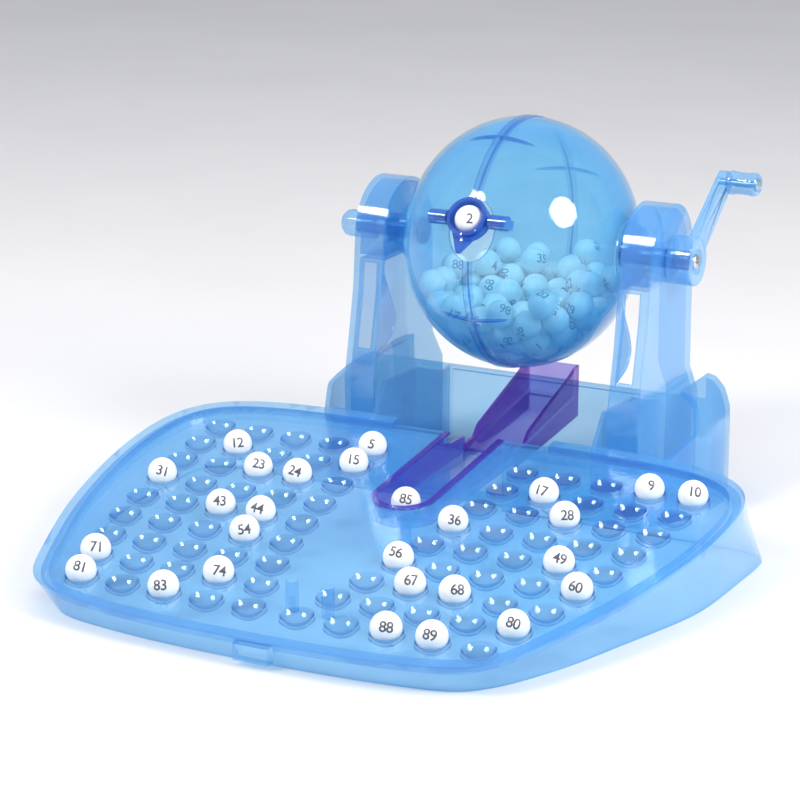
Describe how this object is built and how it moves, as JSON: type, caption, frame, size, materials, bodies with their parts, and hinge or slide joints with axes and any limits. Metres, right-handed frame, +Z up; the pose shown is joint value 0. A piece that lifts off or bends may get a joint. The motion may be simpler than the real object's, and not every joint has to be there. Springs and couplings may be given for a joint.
{
  "type": "bingo cage",
  "caption": "Hand-cranked translucent bingo globe on two uprights, with an exit gate, a ball chute and a sloping numbered-ball board.",
  "frame": {"origin": "bottom centre of the whole set, on the table", "axes": "+X towards the crank, +Y from the players to the globe, +Z up"},
  "size_m": [0.2666, 0.2989, 0.1596],
  "materials": {
    "clear_blue": "translucent gloss",
    "deep_blue": "translucent gloss",
    "clear_violet": "translucent gloss",
    "ball_white": "satin",
    "pin_steel": "zinc plated"
  },
  "bodies": {
    "stand": {"ball_board": "clear_blue", "stand_base": "clear_blue", "right_pillar": "clear_blue", "left_pillar": "clear_blue", "right_bearing_plate": "clear_blue", "left_bearing_plate": "clear_blue", "upper_chute": "clear_violet", "lower_chute": "clear_violet", "chute_post": "clear_violet", "board_balls": "ball_white", "chute_ball": "ball_white", "globe_balls": "ball_white"},
    "globe": {"globe_right_half": "clear_blue", "globe_left_half": "clear_blue", "right_axle": "deep_blue", "left_axle": "deep_blue", "left_end_knob": "clear_blue", "crank": "clear_blue", "crank_screw": "pin_steel", "handle_pin": "pin_steel"},
    "gate": {"exit_gate": "deep_blue", "gate_ball": "ball_white"},
    "handle": {"crank_handle": "clear_blue"}
  },
  "joints": [
    {"name": "globe_spin", "type": "hinge", "parent": "stand", "child": "globe", "pos_m": [0, 0.0954, 0.1055], "axis": [1, 0, 0], "continuous": true},
    {"name": "gate_swing", "type": "hinge", "parent": "globe", "child": "gate", "pos_m": [0, 0.04349, 0.12543], "axis": [1, 0, 0], "range_deg": [-4, 12]},
    {"name": "handle_spin", "type": "hinge", "parent": "globe", "child": "handle", "pos_m": [0.07855, 0.13308, 0.13188], "axis": [1, 0, 0], "continuous": true}
  ]
}
